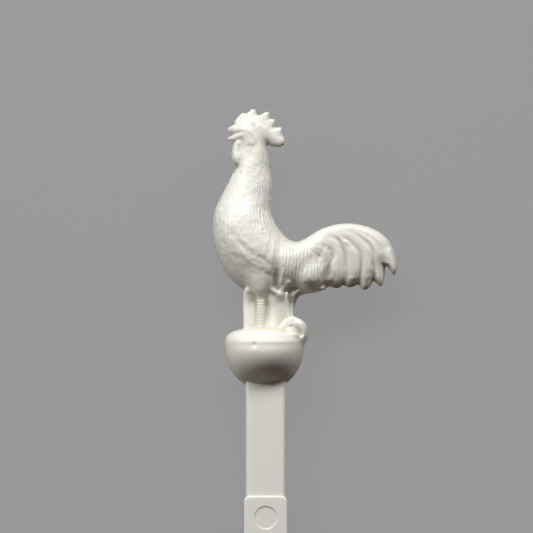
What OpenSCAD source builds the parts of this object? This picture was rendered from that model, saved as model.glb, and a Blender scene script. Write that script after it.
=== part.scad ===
// Drink stirrer: a moulded plastic swizzle stick. A crowing cockerel stands on a half-ball perch at the top of a
// flat, bevelled stem, which has a raised plain plaque lower down and a rounded tip.
// It is one moulding with the same relief on both sides of its mid plane. It lies here on one side, as it rests on
// a table: the perch and the end of the tip touch the table at z = 0, +Y runs up the stick and +Z is the near side.

/* [Stem] */
// Length of the stem from its tip to the underside of the perch
stem_l = 117.6; // [100:0.1:150]
// Width of the stem
stem_w = 5; // [3.6:0.1:7]
// Thickness of the stem through its flat faces
stem_t = 2.2; // [1.6:0.1:3]
// Bevel along every edge of the stem
stem_bevel = 0.5; // [0.2:0.05:0.7]
// Radius of the two corners at the tip
tip_r = 1.2; // [0.5:0.1:1.8]

/* [Plaque] */
// Length of the raised plaque
plaque_l = 70; // [20:1:80]
// Width of the plaque
plaque_w = 5.4; // [4:0.1:8]
// Thickness through the plaque, both raised faces together
plaque_t = 2.8; // [2.3:0.1:4]
// Bevel along the plaque's edges
plaque_bevel = 0.4; // [0.1:0.05:0.6]
// Radius of the plaque's four corners
plaque_r = 0.7; // [0.7:0.05:1.6]
// Distance from the underside of the perch to the plaque's upper end
plaque_drop = 13.8; // [4:0.1:18]
// Diameter of the shallow round dish near the plaque's upper end
dish_d = 3; // [1:0.1:3.4]
// Depth of the dish
dish_depth = 0.12; // [0.05:0.01:0.3]
// Distance from the plaque's upper end to the middle of the dish
dish_drop = 2.7; // [2:0.1:8]

/* [Perch] */
// Width of the half-ball perch
perch_w = 9.9; // [7:0.1:13]
// Depth of the perch from front to back
perch_t = 9.2; // [8.6:0.1:12]
// Height of the perch from its underside to its rim
perch_h = 5.5; // [4:0.1:8]
// Rise of the domed top above the rim
dome_h = 1.7; // [1:0.1:3]
// Width of the pebble on the rim behind the bird
pebble_w = 3.6; // [2.5:0.1:4.5]

/* [Cockerel] */
// Height of the bird from the perch's rim to the top of its comb
bird_h = 28.9; // [24:0.1:34]
// Thickness through the breast
breast_t = 8.4; // [6.5:0.1:9.2]
// Thickness through the neck just below the head
neck_t = 3.6; // [2.6:0.1:4.6]
// Thickness through the tail feathers
tail_t = 3; // [2:0.1:4.4]
// Thickness of the comb at its root
comb_t = 1.4; // [0.9:0.1:2]
// How far the wing and its coverts stand off the body
wing_rise = 0.24; // [0.14:0.02:0.4]
// How far the fine feather strands stand off the body
strand_rise = 0.16; // [0.08:0.02:0.3]

/* [Leg and grass] */
// Thickness of the web of grass behind the leg, at its top
web_t = 3.2; // [2:0.1:4.5]
// Diameter of the ringed leg
leg_d = 1.2; // [0.8:0.1:1.6]
// Height of one ring of the leg
ring_h = 0.4; // [0.3:0.05:0.6]

/* [Hidden] */

// The bird's points and small depths below are drawn for a height of 28.9, and this scales them to bird_h.
k = bird_h / 28.9;
// The perch stands a little to the left of the stem's centre line.
perch_x = -0.15;

// The bird's outline as two rails, breast and belly on one and the back on the other, from head to tail.
breast_rail = [[-2.5, 25.7], [-2.95, 24], [-3.25, 22.4], [-4, 21.1], [-4.9, 19.4], [-5.6, 18], [-6.4, 16.2], [-6.6, 14.1],
    [-6.3, 11.9], [-5.5, 9.6], [-4.2, 7.6], [-2.3, 6.3], [0.2, 5.7], [2.6, 5.8], [4.6, 6.4]];
back_rail = [[-0.5, 26.1], [0, 24.6], [0.35, 23.1], [0.55, 21.5], [0.8, 19.7], [0.7, 17.9], [0.6, 16.3], [1.2, 14.7],
    [2.2, 13.3], [3.1, 12.45], [3.9, 12.25], [4.8, 12.6], [5.8, 13.1], [7, 13.5], [8.2, 13.5]];
// Half thickness of the body along the same rails: the neck first, then the breast, then the root of the tail.
nd = neck_t / 2;
bd = breast_t / 2;
td = tail_t / 2;
body_deep = [nd * 0.8, nd * 0.98, nd * 1.08, nd * 1.2, bd * 0.62, bd * 0.72, bd * 0.84, bd * 0.94, bd, bd, bd * 0.95,
    bd * 0.86, bd * 0.7, td * 1.55, td * 0.7];

// Each tail feather: outer edge, inner edge and its thickness as a part of tail_t.
tail_feathers = [
    [[[3.6, 12], [5.4, 13.1], [7.2, 14.1], [9.4, 14.65], [11.6, 14.55], [13.6, 13.95], [15.1, 12.9],
        [15.95, 11.4], [16.35, 9.7], [16.05, 8]],
     [[4.4, 11], [6.2, 12.2], [8, 13.1], [9.5, 13.4], [11, 13.2], [12.3, 12.5], [13.3, 11.5], [14.2, 10.3],
        [15.2, 9.4], [15.8, 8.1]], 1],
    [[[6.5, 12.6], [9.4, 13.6], [11.6, 13], [13.2, 11.9], [14.4, 10.4], [15.1, 8.9], [14.9, 7.5], [14.4, 6.75]],
     [[6.5, 11.4], [8.8, 12.1], [10.6, 11.5], [11.9, 10.5], [12.7, 9.4], [13.4, 8.4], [13.7, 7.5], [14.1, 6.8]], 0.82],
    [[[6, 12.2], [8.6, 12.8], [10.8, 12.2], [12.3, 11.1], [13.2, 9.7], [13.5, 8.3], [13, 7.1], [12.45, 6.4]],
     [[6, 11.4], [8.4, 11.9], [10.2, 11.3], [11.4, 10.3], [11.9, 9.1], [12, 7.8], [11.85, 6.9], [12.15, 6.4]], 1.04],
    [[[5.4, 12], [7.6, 12.5], [9.6, 11.8], [11, 10.7], [11.9, 9.4], [12, 8.1], [11.4, 7.2], [10.6, 6.65]],
     [[5.2, 10.8], [7, 11.4], [8.6, 11], [9.7, 10], [10.1, 9], [10.05, 8], [9.8, 7.2], [10.2, 6.65]], 0.9],
    [[[4.6, 12.1], [6.6, 12.3], [8.2, 11.8], [9.4, 10.7], [10.1, 9.4], [10.1, 8.1], [9.6, 7.2], [8.8, 6.6]],
     [[4.4, 10.6], [5.8, 10.9], [7, 10.4], [7.6, 9.5], [7.9, 8.5], [7.9, 7.7], [7.75, 7], [8.1, 6.6]], 1.1],
    [[[1.5, 12.4], [3.7, 12.1], [5.4, 11.4], [6.8, 10.4], [7.7, 9.1], [8, 7.8], [7.8, 7.1], [7, 6.6]],
     [[0.6, 8], [2.4, 7.3], [3.4, 6.9], [4.2, 6.6], [4.9, 6.4], [5.3, 6.3], [5.6, 6.3], [6, 6.3]], 1.75]];

// The comb's outline, from the beak over its points to the nape.
comb_outline = [[-3.85, 27.4], [-3.4, 28], [-2.9, 28.45], [-2.35, 28.35], [-1.75, 28.9], [-1.35, 28.85],
    [-1.1, 28.1], [-0.6, 28.25], [0, 28.6], [0.4, 28.55], [0.4, 27.75], [1.1, 27.7], [1.15, 27.5], [0.9, 26.65],
    [1.8, 26.7], [1.95, 26.5], [1.9, 25.6], [2.35, 25.05], [2.2, 24.6], [1.9, 24.4], [0.8, 24.7], [-0.2, 25],
    [-1.8, 25.4], [-3.4, 26.3]];

// Feathers that lie on the body: centre line, half widths, and how far each stands off as a part of wing_rise.
wing_feathers = [
    [[[-4.8, 13.4], [-3.4, 14], [-1.8, 13.3], [-0.4, 12], [0.9, 10.7], [1.7, 9.7]], [0.5, 1.2, 1.6, 1.5, 1.1, 0.3], 1],
    [[[-4.9, 12.1], [-3.8, 11.8], [-2.5, 10.8], [-1.2, 9.8], [0.2, 9.1]], [0.4, 0.9, 1.1, 1, 0.3], 0.8],
    [[[-4.7, 10.6], [-3.7, 9.9], [-2.7, 9], [-1.8, 8.3]], [0.3, 0.8, 0.8, 0.25], 0.6]];

// Centre lines of the strands of feather: down the back of the neck and over the saddle.
strands = [[[-0.7, 23.4], [-0.6, 21], [-0.7, 18.8], [-1.1, 16.4]], [[-0.1, 22.6], [0.05, 20.2], [0, 18], [-0.2, 15.4]],
    [[-1.4, 22.2], [-1.4, 20], [-1.7, 18], [-2.4, 15.8]], [[2, 12.5], [1.95, 11], [1.8, 9], [1.4, 7.2]],
    [[2.7, 12], [2.6, 10.6], [2.4, 8.8], [2.1, 7.4]], [[3.4, 11.8], [3.3, 10.4], [3.1, 9], [2.9, 7.8]],
    [[4.2, 11.6], [4.1, 10.4], [3.9, 9], [3.8, 8]]];

// Grass blades on each face of the web: centre line, half widths and how far the face stands from the mid plane.
blades = [
    [[[-2.2, 1.4], [-2.2, 4.4], [-2, 6.5]], [0.65, 0.75, 0.5], [2, 1.75, 2.3]],
    [[[1.3, 1.6], [0.9, 4.5], [0.4, 6.7]], [0.65, 0.65, 0.2], [2, 1.7, 2.3]],
    [[[1.7, 1.9], [1.65, 4.4], [1.8, 6]], [0.5, 0.5, 0.25], [1.9, 1.65, 2.1]],
    [[[2.1, 2.5], [2, 4.8], [2, 6.9]], [0.5, 0.5, 0.2], [1.8, 1.6, 2.2]],
    [[[2.8, 2.7], [2.55, 5], [2.75, 7.4]], [0.55, 0.5, 0.2], [1.8, 1.6, 2.3]],
    [[[3.1, 2.8], [3.1, 4.7], [4.25, 6.4]], [0.42, 0.45, 0.2], [1.4, 1.3, 1.7]]];

// The half-ball's outline as parts of its half width and its height, from the underside to the rim.
bowl_curve = [[0, -0.02], [0.36, -0.015], [0.5, 0.02], [0.61, 0.11], [0.72, 0.2], [0.79, 0.3], [0.87, 0.47],
    [0.94, 0.65], [0.99, 0.84], [1, 1]];
// The domed top likewise, as parts of the half width and the rise.
dome_curve = [[0.99, 0.4], [0.92, 0.68], [0.74, 0.84], [0.5, 0.95], [0, 1]];

// The stick lies on the perch's rim and on the near end of the tip, which tips it up by this angle.
end_l = stem_l - stem_bevel;
pitch = atan((perch_t - stem_t) / 2 / (end_l + perch_h));
lift = end_l * sin(pitch) + stem_t / 2 * cos(pitch);
// Extremes of the outline, for the origin in the middle of the part's footprint.
left_x = -6.6 * k;
right_x = 16.36 * k;
top_y = perch_h + bird_h;
mid_x = (left_x + right_x) / 2;
mid_y = (top_y - stem_l) / 2 * cos(pitch);

// A smooth curve through the values p, at t from 0 at the first to 1 at the last.
function curve(p, t) = let (n = len(p) - 1, s = min(max(t, 0), 1) * n, i = min(floor(s), n - 1), f = s - i,
    a = p[max(i - 1, 0)], b = p[i], c = p[i + 1], d = p[min(i + 2, n)])
    0.5 * (2 * b + (c - a) * f + (2 * a - 5 * b + 4 * c - d) * f * f + (3 * b - a - 3 * c + d) * f * f * f);

// The unit vector to the left of a curve's direction.
function beside(p, t) = let (d = curve(p, t + 0.01) - curve(p, t - 0.01)) [-d[1], d[0]] / norm(d);

// One oval section: centre m and half width s in the plane, middle height z and half depth d.
function oval(m, s, z, d, sides) = [for (j = [0:sides - 1]) let (a = 360 * j / sides)
    [m[0] + s[0] * cos(a), m[1] + s[1] * cos(a), z + d * sign(sin(a)) * pow(abs(sin(a)), 0.85)]];

// The height of the body's face above the mid plane at the point p, from the section line that passes nearest to p.
function face(p) = let (
    sections = [for (i = [0:90]) let (t = i / 90, a = curve(breast_rail, t), b = curve(back_rail, t),
        m = (a + b) / 2, s = (b - a) / 2, u = (p - m) * s / (s * s))
        [norm(p - m - s * u), curve(body_deep, t) * sqrt(max(1 - u * u, 0.02))]],
    least = min([for (q = sections) q[0]]))
    [for (q = sections) if (q[0] == least) q[1]][0];

// A closed skin over a row of sections with the same number of points.
module skin(rings) {
    n = len(rings[0]);
    m = len(rings);
    a = rings[0];
    turn = cross(a[1] - a[0], a[2] - a[0]) * (rings[1][0] + rings[1][floor(n / 2)] - a[0] - a[floor(n / 2)]) > 0;
    walls = [for (i = [0:m - 2], j = [0:n - 1]) let (p = i * n + j, q = i * n + (j + 1) % n)
        each [[p, q, q + n], [p, q + n, p + n]]];
    ends = [[for (j = [n - 1:-1:0]) j], [for (j = [0:n - 1]) (m - 1) * n + j]];
    faces = concat(walls, ends);
    polyhedron([for (r = rings) each r], turn ? [for (f = faces) [for (j = [len(f) - 1:-1:0]) f[j]]] : faces);
}

// A form between two rails in the mid plane, with half depths along it.
module between(one, two, deep, rings, sides) {
    skin([for (i = [0:rings]) let (t = i / rings, p = curve(one, t), q = curve(two, t))
        oval((p + q) / 2, (q - p) / 2, 0, curve(deep, t), sides)]);
}

// A form along a centre line, with half widths, middle heights and half depths along it, and its mirror image.
module along(mid, wide, high, deep, rings, sides) {
    for (face = [0, 1])
        mirror([0, 0, face])
            skin([for (i = [0:rings]) let (t = i / rings)
                oval(curve(mid, t), beside(mid, t) * curve(wide, t), curve(high, t), curve(deep, t), sides)]);
}

// A feather that lies on both faces of the body and stands off them by rise, with half depth d.
module feather(mid, wide, rise, d, rings, sides) {
    along(mid, wide, [for (p = mid) face(p) + rise - d],
        [for (i = [0:len(mid) - 1]) i % (len(mid) - 1) > 0 ? d : d - rise * 1.5], rings, sides);
}

// The body from the neck to the root of the tail.
module torso() {
    color("ivory")
        difference() {
            between(breast_rail, back_rail, body_deep, 20, 20);
            // Hollow between the thigh and the saddle feathers.
            feather([[1.35, 10.4], [1.2, 8.8], [1, 7]], [0.25, 0.5, 0.3], 0.3 * k, 1.1 * k, 4, 8);
        }
}

module wings() {
    color("ivory") {
        for (f = wing_feathers)
            feather(f[0], f[1], wing_rise * f[2], 0.7 * k, 7, 10);
        for (s = strands)
            feather(s, [0.1, 0.27, 0.27, 0.08], strand_rise, 0.4 * k, 5, 6);
    }
}

module tail() {
    color("ivory")
        for (f = tail_feathers)
            between(f[0], f[1], td * f[2] * [1.15, 1.1, 1.02, 0.95, 0.85, 0.7, 0.35], 10, f[2] > 1.5 ? 14 : 8);
    // The thin middle of the tail between the feathers of the two faces.
    color("ivory")
        between([[5.4, 12.9], [8.6, 13.8], [11.4, 13.4], [13.4, 12.1], [14.7, 10.2]],
            [[4.9, 7], [7.6, 7.5], [9.6, 7.8], [11.8, 7.9], [13.5, 8.7]], td * [0.7, 0.6, 0.5, 0.4, 0.3], 5, 8);
    // Two curled feathers that lie over the others.
    color("ivory") {
        along([[7.2, 12.8], [8.1, 12.2], [8.5, 11.4]], [0.2, 0.45, 0.2], [td, td, td], [0.25, 0.35, 0.2] * k, 4, 6);
        along([[9, 13], [10, 12.6], [10.7, 11.7]], [0.2, 0.45, 0.2], [td, td, td * 0.9], [0.25, 0.35, 0.2] * k, 4, 6);
    }
}

module head() {
    color("ivory") {
        between([[-3.7, 26.8], [-2.9, 27.5], [-1.8, 27.7], [-0.8, 27.2], [-0.1, 26.3]],
            [[-3.6, 25.5], [-2.9, 24.7], [-2, 23.9], [-0.9, 23.7], [0, 24.4]], nd * [0.5, 0.85, 1, 0.98, 0.7], 8, 14);
        // Upper and lower beak, wide open.
        between([[-4.75, 26.65], [-4.3, 26.95], [-3.7, 27.2], [-3, 27.3]],
            [[-4.7, 26.4], [-4.2, 26.2], [-3.6, 26], [-3, 25.7]], nd * [0.12, 0.3, 0.45, 0.6], 4, 8);
        between([[-4.75, 25.45], [-4.2, 25.65], [-3.6, 25.85], [-3, 26]],
            [[-4.7, 25.2], [-4.3, 25.05], [-3.7, 25], [-3.1, 24.8]], nd * [0.12, 0.28, 0.4, 0.5], 4, 8);
        // Wattles under the beak.
        along([[-3.35, 25.2], [-3.55, 24.5], [-3.6, 23.5], [-3.5, 22.6], [-3.45, 22.1]], [0.3, 0.6, 0.68, 0.6, 0.25],
            nd * [0.3, 0.4, 0.45, 0.45, 0.45], nd * [0.2, 0.25, 0.28, 0.25, 0.12], 5, 8);
        // Skin of the throat between the wattles and the neck.
        between([[-4, 25.1], [-3.9, 23.8], [-3.6, 22.4]], [[-2, 24.8], [-2.4, 23.6], [-2.9, 22.3]], nd * [0.5, 0.4, 0.25],
            3, 8);
        // Ear lobes and eyes.
        along([[-1.6, 25.9], [-1.65, 25.2], [-1.8, 24.5]], [0.25, 0.5, 0.25], nd * [0.9, 0.85, 0.75],
            [0.2, 0.42, 0.2] * k, 4, 8);
        for (face = [-1, 1])
            translate([-1.75, 27, face * nd * 0.8])
                scale([1, 1, k])
                    sphere(r = 0.32, $fn = 8);
    }
}

module comb() {
    color("ivory")
        for (step = [[0.55, 0], [1, 0.2]])
            linear_extrude(height = comb_t * step[0], center = true)
                offset(delta = -step[1])
                    polygon(comb_outline);
}

module thigh() {
    color("ivory")
        along([[-1, 9.4], [-0.9, 8], [-0.75, 6.6], [-0.66, 5.1]], [1.2, 1.5, 1.2, 0.62],
            [bd * 0.55, bd * 0.5, bd * 0.44, bd * 0.36], [0.5 * k, 1.5 * k, 1.15 * k, leg_d * 0.5], 6, 12);
}

// The leg below the thigh on each face, with its rings.
module leg() {
    rings = floor(4 * k / ring_h);
    color("ivory")
        for (face = [-1, 1])
            translate([-0.62 * k, 1.4 * k, face * (bd * 0.4 + 0.1 * k)])
                rotate([-90, 0, 0])
                    rotate_extrude($fn = 8)
                        polygon([[0, 0], for (i = [0:rings - 1]) each [[leg_d * 0.44, i * ring_h],
                            [leg_d * 0.53, (i + 0.6) * ring_h]], [0, rings * ring_h]]);
}

// The web of grass that carries the bird, and the blades that stand off it.
module grass() {
    wd = web_t / 2;
    color("ivory") {
        between([[-2.85, 7.2], [-2.85, 5.2], [-2.85, 3.2], [-2.85, 1.1]],
            [[4.6, 6.6], [3.75, 4.9], [3.4, 3.1], [3.4, 1.1]], [wd, wd * 0.95, wd * 1.05, wd * 1.6], 5, 14);
        for (face = [-1, 1], b = blades, i = [0, 1])
            hull()
                for (j = [i, i + 1])
                    translate([b[0][j][0], b[0][j][1], face * (b[2][j] * wd / 1.6 - 0.4 * k)])
                        scale([b[1][j], b[1][j] * 0.8, 0.45 * k])
                            sphere(r = 1.05, $fn = 6);
    }
}

module bird() {
    translate([0, perch_h, 0]) {
        scale([k, k, 1]) {
            torso();
            wings();
            tail();
            head();
            comb();
            thigh();
            grass();
        }
        leg();
    }
}

module perch() {
    r = perch_w / 2;
    color("ivory")
        translate([perch_x, 0, 0]) {
            scale([1, 1, perch_t / perch_w])
                rotate([-90, 0, 0])
                    rotate_extrude($fn = 32)
                        polygon(concat([for (p = bowl_curve) [p[0] * r, p[1] * perch_h]],
                            [for (p = dome_curve) [p[0] * r, perch_h + p[1] * dome_h]]));
            // Pebble on the rim, with a dimple in each face.
            translate([r - pebble_w * 0.38, perch_h + pebble_w * 0.38, 0])
                difference() {
                    scale([1, 0.95, 1.1])
                        sphere(d = pebble_w, $fn = 16);
                    for (face = [-1, 1])
                        translate([-pebble_w * 0.03, 0, face * pebble_w * 0.68])
                            sphere(d = pebble_w * 0.6, $fn = 12);
                }
        }
}

// A flat bar with bevelled edges from y0 down to y1, with its corners rounded.
module bar(w, t, bevel, y0, y1, r) {
    hull()
        for (in = [0, bevel])
            linear_extrude(height = t - 2 * (bevel - in), center = true)
                for (x = [-1, 1], y = [y0 - r, y1 + r])
                    translate([x * (w / 2 - r), y])
                        circle(r = r - in, $fn = 24);
}

module stem() {
    color("ivory")
        bar(stem_w, stem_t, stem_bevel, perch_h * 0.5, -stem_l, tip_r);
}

// The raised plaque, with a shallow round dish in each face.
module plaque() {
    color("ivory")
        difference() {
            bar(plaque_w, plaque_t, plaque_bevel, -plaque_drop, -plaque_drop - plaque_l, plaque_r);
            for (face = [0, 1])
                mirror([0, 0, face])
                    translate([0, -plaque_drop - dish_drop, plaque_t / 2 - dish_depth])
                        cylinder(h = 1, d = dish_d, $fn = 32);
        }
}

// The whole moulding, laid on the table.
module stirrer() {
    translate([-mid_x, -mid_y, lift])
        rotate([pitch, 0, 0]) {
            bird();
            perch();
            stem();
            plaque();
        }
}

stirrer();
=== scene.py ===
import math

import bmesh
import bpy
import numpy as np
from mathutils import Matrix, Vector


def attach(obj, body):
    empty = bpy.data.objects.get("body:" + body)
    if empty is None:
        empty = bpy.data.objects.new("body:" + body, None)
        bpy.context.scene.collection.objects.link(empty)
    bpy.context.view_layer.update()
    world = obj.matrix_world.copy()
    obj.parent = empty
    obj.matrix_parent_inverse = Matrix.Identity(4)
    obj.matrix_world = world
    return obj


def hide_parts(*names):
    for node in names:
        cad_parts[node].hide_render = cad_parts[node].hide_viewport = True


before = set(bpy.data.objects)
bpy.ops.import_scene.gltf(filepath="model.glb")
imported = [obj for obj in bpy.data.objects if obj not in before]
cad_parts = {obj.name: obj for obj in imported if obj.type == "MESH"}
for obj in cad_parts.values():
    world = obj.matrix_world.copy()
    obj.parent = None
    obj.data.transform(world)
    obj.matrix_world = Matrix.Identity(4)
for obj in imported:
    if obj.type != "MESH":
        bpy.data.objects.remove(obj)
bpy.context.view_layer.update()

# The plastic. The whole stirrer is one moulding in ivory-white polystyrene with a satin gloss, which lets a
# little light through. Its recesses get painted shade: a darker, warmer brown-beige mixed into the colour
# there. Its skin has the faint unevenness of a mould's surface, stronger where the modeller's tool has
# worked.


def inputs_of(group, rows):
    """Gives a node group its named inputs, with the values that they start from."""
    made = {}
    for name, kind, value in rows:
        made[name] = group.interface.new_socket(name, in_out="INPUT", socket_type=kind)
        if value is not None:
            made[name].default_value = value
    return made


satin = bpy.data.node_groups.new("satin skin", "ShaderNodeTree")
inputs_of(satin, (("Bare colour", "NodeSocketColor", (0.82, 0.817, 0.755, 1)),
                  ("Recess shade colour", "NodeSocketColor", (0.68, 0.62, 0.47, 1)),
                  ("Recess shade amount", "NodeSocketFloat", 0.75),
                  ("Gloss roughness", "NodeSocketFloat", 0.34),
                  ("Unevenness scale", "NodeSocketFloat", 2400.0)))
for name, kind in (("Colour", "NodeSocketColor"), ("Roughness", "NodeSocketFloat"),
                   ("Height", "NodeSocketFloat")):
    satin.interface.new_socket(name, in_out="OUTPUT", socket_type=kind)
node_in = satin.nodes.new("NodeGroupInput")
node_out = satin.nodes.new("NodeGroupOutput")
place = satin.nodes.new("ShaderNodeTexCoord")
cloud = satin.nodes.new("ShaderNodeTexNoise")
cloud.inputs["Scale"].default_value = 260
cloud.inputs["Detail"].default_value = 3
grain = satin.nodes.new("ShaderNodeTexNoise")
grain.inputs["Detail"].default_value = 3
tool_marks = satin.nodes.new("ShaderNodeAttribute")
tool_marks.attribute_name = "tooled"
tool_span = satin.nodes.new("ShaderNodeMapRange")
tool_span.inputs["To Min"].default_value = 0.15
grain_mix = satin.nodes.new("ShaderNodeMath")
grain_mix.operation = "MULTIPLY"
recess_shade = satin.nodes.new("ShaderNodeAttribute")
recess_shade.attribute_name = "recess_shade"
depth_mix = satin.nodes.new("ShaderNodeMath")
depth_mix.operation = "MULTIPLY"
colour_mix = satin.nodes.new("ShaderNodeMix")
colour_mix.data_type = "RGBA"
rough_span = satin.nodes.new("ShaderNodeMapRange")
rough_span.inputs["From Min"].default_value = 0.3
rough_span.inputs["From Max"].default_value = 0.7
rough_low = satin.nodes.new("ShaderNodeMath")
rough_low.operation = "SUBTRACT"
rough_low.inputs[1].default_value = 0.04
rough_high = satin.nodes.new("ShaderNodeMath")
rough_high.operation = "ADD"
rough_high.inputs[1].default_value = 0.05
wire = satin.links.new
wire(place.outputs["Object"], cloud.inputs["Vector"])
wire(place.outputs["Object"], grain.inputs["Vector"])
wire(node_in.outputs["Unevenness scale"], grain.inputs["Scale"])
# The recess mask mixes painted shade into the bare colour: darker and browner in hollows and grooves.
wire(recess_shade.outputs["Fac"], depth_mix.inputs[0])
wire(node_in.outputs["Recess shade amount"], depth_mix.inputs[1])
wire(depth_mix.outputs[0], colour_mix.inputs["Factor"])
wire(node_in.outputs["Bare colour"], colour_mix.inputs["A"])
wire(node_in.outputs["Recess shade colour"], colour_mix.inputs["B"])
wire(node_in.outputs["Gloss roughness"], rough_low.inputs[0])
wire(node_in.outputs["Gloss roughness"], rough_high.inputs[0])
wire(cloud.outputs["Fac"], rough_span.inputs["Value"])
wire(rough_low.outputs[0], rough_span.inputs["To Min"])
wire(rough_high.outputs[0], rough_span.inputs["To Max"])
wire(colour_mix.outputs["Result"], node_out.inputs["Colour"])
wire(rough_span.outputs["Result"], node_out.inputs["Roughness"])
wire(tool_marks.outputs["Fac"], tool_span.inputs["Value"])
wire(grain.outputs["Fac"], grain_mix.inputs[0])
wire(tool_span.outputs["Result"], grain_mix.inputs[1])
wire(grain_mix.outputs[0], node_out.inputs["Height"])

plastic = bpy.data.materials.new("ivory_plastic")
plastic.use_nodes = True
connect = plastic.node_tree.links.new
shader = plastic.node_tree.nodes["Principled BSDF"]
shader.inputs["IOR"].default_value = 1.5
shader.inputs["Subsurface Weight"].default_value = 0.6
shader.inputs["Subsurface Radius"].default_value = (1.0, 0.93, 0.78)
shader.inputs["Subsurface Scale"].default_value = 0.0007
skin_group = plastic.node_tree.nodes.new("ShaderNodeGroup")
skin_group.node_tree = satin
skin_bump = plastic.node_tree.nodes.new("ShaderNodeBump")
skin_bump.inputs["Strength"].default_value = 0.38
skin_bump.inputs["Distance"].default_value = 0.00006
connect(skin_group.outputs["Colour"], shader.inputs["Base Color"])
connect(skin_group.outputs["Roughness"], shader.inputs["Roughness"])
connect(skin_group.outputs["Height"], skin_bump.inputs["Height"])
connect(skin_bump.outputs["Normal"], shader.inputs["Normal"])

# The cockerel's block of clay. The bird, its grass and its perch are one modelled form, both faces alike,
# worked in mm on a grid of levels: below zero is plastic and above it is air. x is across the stick, y runs
# up from the underside of the perch and z comes to the viewer from the mid plane.
fine = 0.1
xs = np.arange(-7.6, 17.4, fine)
ys = np.arange(-0.9, 35.4, fine)
zs = np.arange(0, 5.6, fine)
open_air = 3.0
clay = np.full((len(xs), len(ys), len(zs)), open_air, np.float32)
relief = np.zeros((len(xs), len(ys)), np.float32)

# The body, from the neck over the breast to the root of the tail. It is the thickest part of the bird, one
# rounded form between the line of the breast and the line of the back. Soft tool marks, a swell over the
# wing, a raised saddle and the trough between them finish it.


def smooth_line(points, t):
    """Points along a smooth line through the given ones, for t from 0 to 1."""
    p = np.asarray(points, float)
    n = len(p) - 1
    s = np.clip(np.asarray(t, float), 0, 1) * n
    i = np.minimum(s.astype(int), n - 1)
    f = s - i
    a, b, c, d = p[np.maximum(i - 1, 0)], p[i], p[i + 1], p[np.minimum(i + 2, n)]
    if p.ndim > 1:
        f = f[..., None]
    return 0.5 * (2 * b + (c - a) * f + (2 * a - 5 * b + 4 * c - d) * f ** 2
                  + (3 * b - a - 3 * c + d) * f ** 3)


def patch(points, margin):
    """The part of the grid that these points cover, with a margin round it."""
    lo, hi = np.min(points, 0) - margin, np.max(points, 0) + margin
    cut = []
    for values, a, b in ((xs, lo[0], hi[0]), (ys, lo[1], hi[1])):
        i = np.searchsorted(values, a)
        cut.append(slice(max(i, 0), max(np.searchsorted(values, b), i + 1)))
    X, Y = np.meshgrid(xs[cut[0]], ys[cut[1]], indexing="ij")
    return tuple(cut), X, Y


def between(one, two, xy, rings=160):
    """Where points lie between two edge lines: along, across (-1 to 1), past the ends, and half the width."""
    side_reach, turn_reach, least_step = 1.15, 1.2, 1e-3
    t = np.linspace(0, 1, rings + 1)
    a, b = smooth_line(one, t), smooth_line(two, t)
    mid, half = (a + b) / 2, (b - a) / 2
    size = np.sum(half ** 2, 1)
    best = np.full(len(xy), 1e9)
    pick = np.zeros(len(xy), int)
    for i in range(rings + 1):
        w = xy - mid[i]
        u = np.clip(w @ half[i] / size[i], -side_reach, side_reach)
        d = np.sum((w - u[:, None] * half[i]) ** 2, 1)
        near = d < best
        best[near] = d[near]
        pick[near] = i
    w = xy - mid[pick]
    u = np.sum(w * half[pick], 1) / size[pick]
    ahead = np.stack([-half[:, 1], half[:, 0]], 1) / np.sqrt(size)[:, None]
    ahead *= np.sign(np.sum(ahead * np.gradient(mid, axis=0), 1))[:, None]
    off = np.sum(w * ahead[pick], 1)
    nxt = np.clip(pick + 1, 1, rings)
    spread = half[nxt] - half[nxt - 1]
    gap = mid[nxt] - mid[nxt - 1] + np.clip(u, -turn_reach, turn_reach)[:, None] * spread
    step = np.maximum(np.linalg.norm(gap, axis=1), least_step)
    along = np.clip((pick + np.clip(off / step, -1, 1)) / rings, 0, 1)
    past = np.where(pick == 0, np.maximum(-off, 0), 0) + np.where(pick == rings, np.maximum(off, 0), 0)
    return along, u, past, np.sqrt(size)[pick]


def rounded(parts):
    """Signed distance, nearly, to an egg shape, from pairs of a distance and the half size that way."""
    q = sum((p / s) ** 2 for p, s in parts)
    g = sum((p / s ** 2) ** 2 for p, s in parts)
    q, g = np.sqrt(q), np.sqrt(np.maximum(g, 1e-9))
    return q * (q - 1) / g


def blend(a, b, fillet):
    """The two forms together, with a fillet of about that size in the corner between them."""
    h = np.maximum(fillet - np.abs(a - b), 0)
    return np.minimum(a, b) - h * h / (4 * fillet)


def put(cut, form, fillet):
    """Adds a form to the clay."""
    clay[cut] = blend(clay[cut], form, fillet)


def cut_away(cut, form, fillet):
    """Takes a form out of the clay."""
    clay[cut] = -blend(-clay[cut], form, fillet)


def pillow(one, two, deep, fillet, cap=0.5, full=1.0, rings=160):
    """A rounded form between two edge lines, with half depths along it."""
    least_depth = 0.05
    cut, X, Y = patch(np.concatenate([one, two]), margin=1.6)
    along, u, past, half = between(one, two, np.stack([X.ravel(), Y.ravel()], 1), rings)
    d = np.maximum(smooth_line(deep, along), least_depth).reshape(X.shape)[..., None]
    half = half.reshape(X.shape)[..., None]
    side = (np.abs(u).reshape(X.shape)[..., None] ** full) * half
    put(cut, rounded([(side, half), (past.reshape(X.shape)[..., None], cap), (zs, d)]), fillet)


def rod(points, thick, fillet, flat=1.0, take=False):
    """A rounded rod along points with x, y and z, with half thicknesses along it."""
    points = np.asarray(points, float)
    steps_a_point, far_off = 8, 9.0
    cut, X, Y = patch(points[:, :2], margin=max(thick) + 1.0)
    t = np.linspace(0, 1, steps_a_point * len(points))
    line = smooth_line(points, t)
    size = smooth_line(thick, t)
    form = np.full(X.shape + (len(zs),), far_off, np.float32)
    for p, s in zip(line, size):
        d = np.sqrt((X - p[0])[..., None] ** 2 + (Y - p[1])[..., None] ** 2 + ((zs - p[2]) / flat) ** 2) - s
        form = np.minimum(form, d)
    (cut_away if take else put)(cut, form, fillet)


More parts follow.
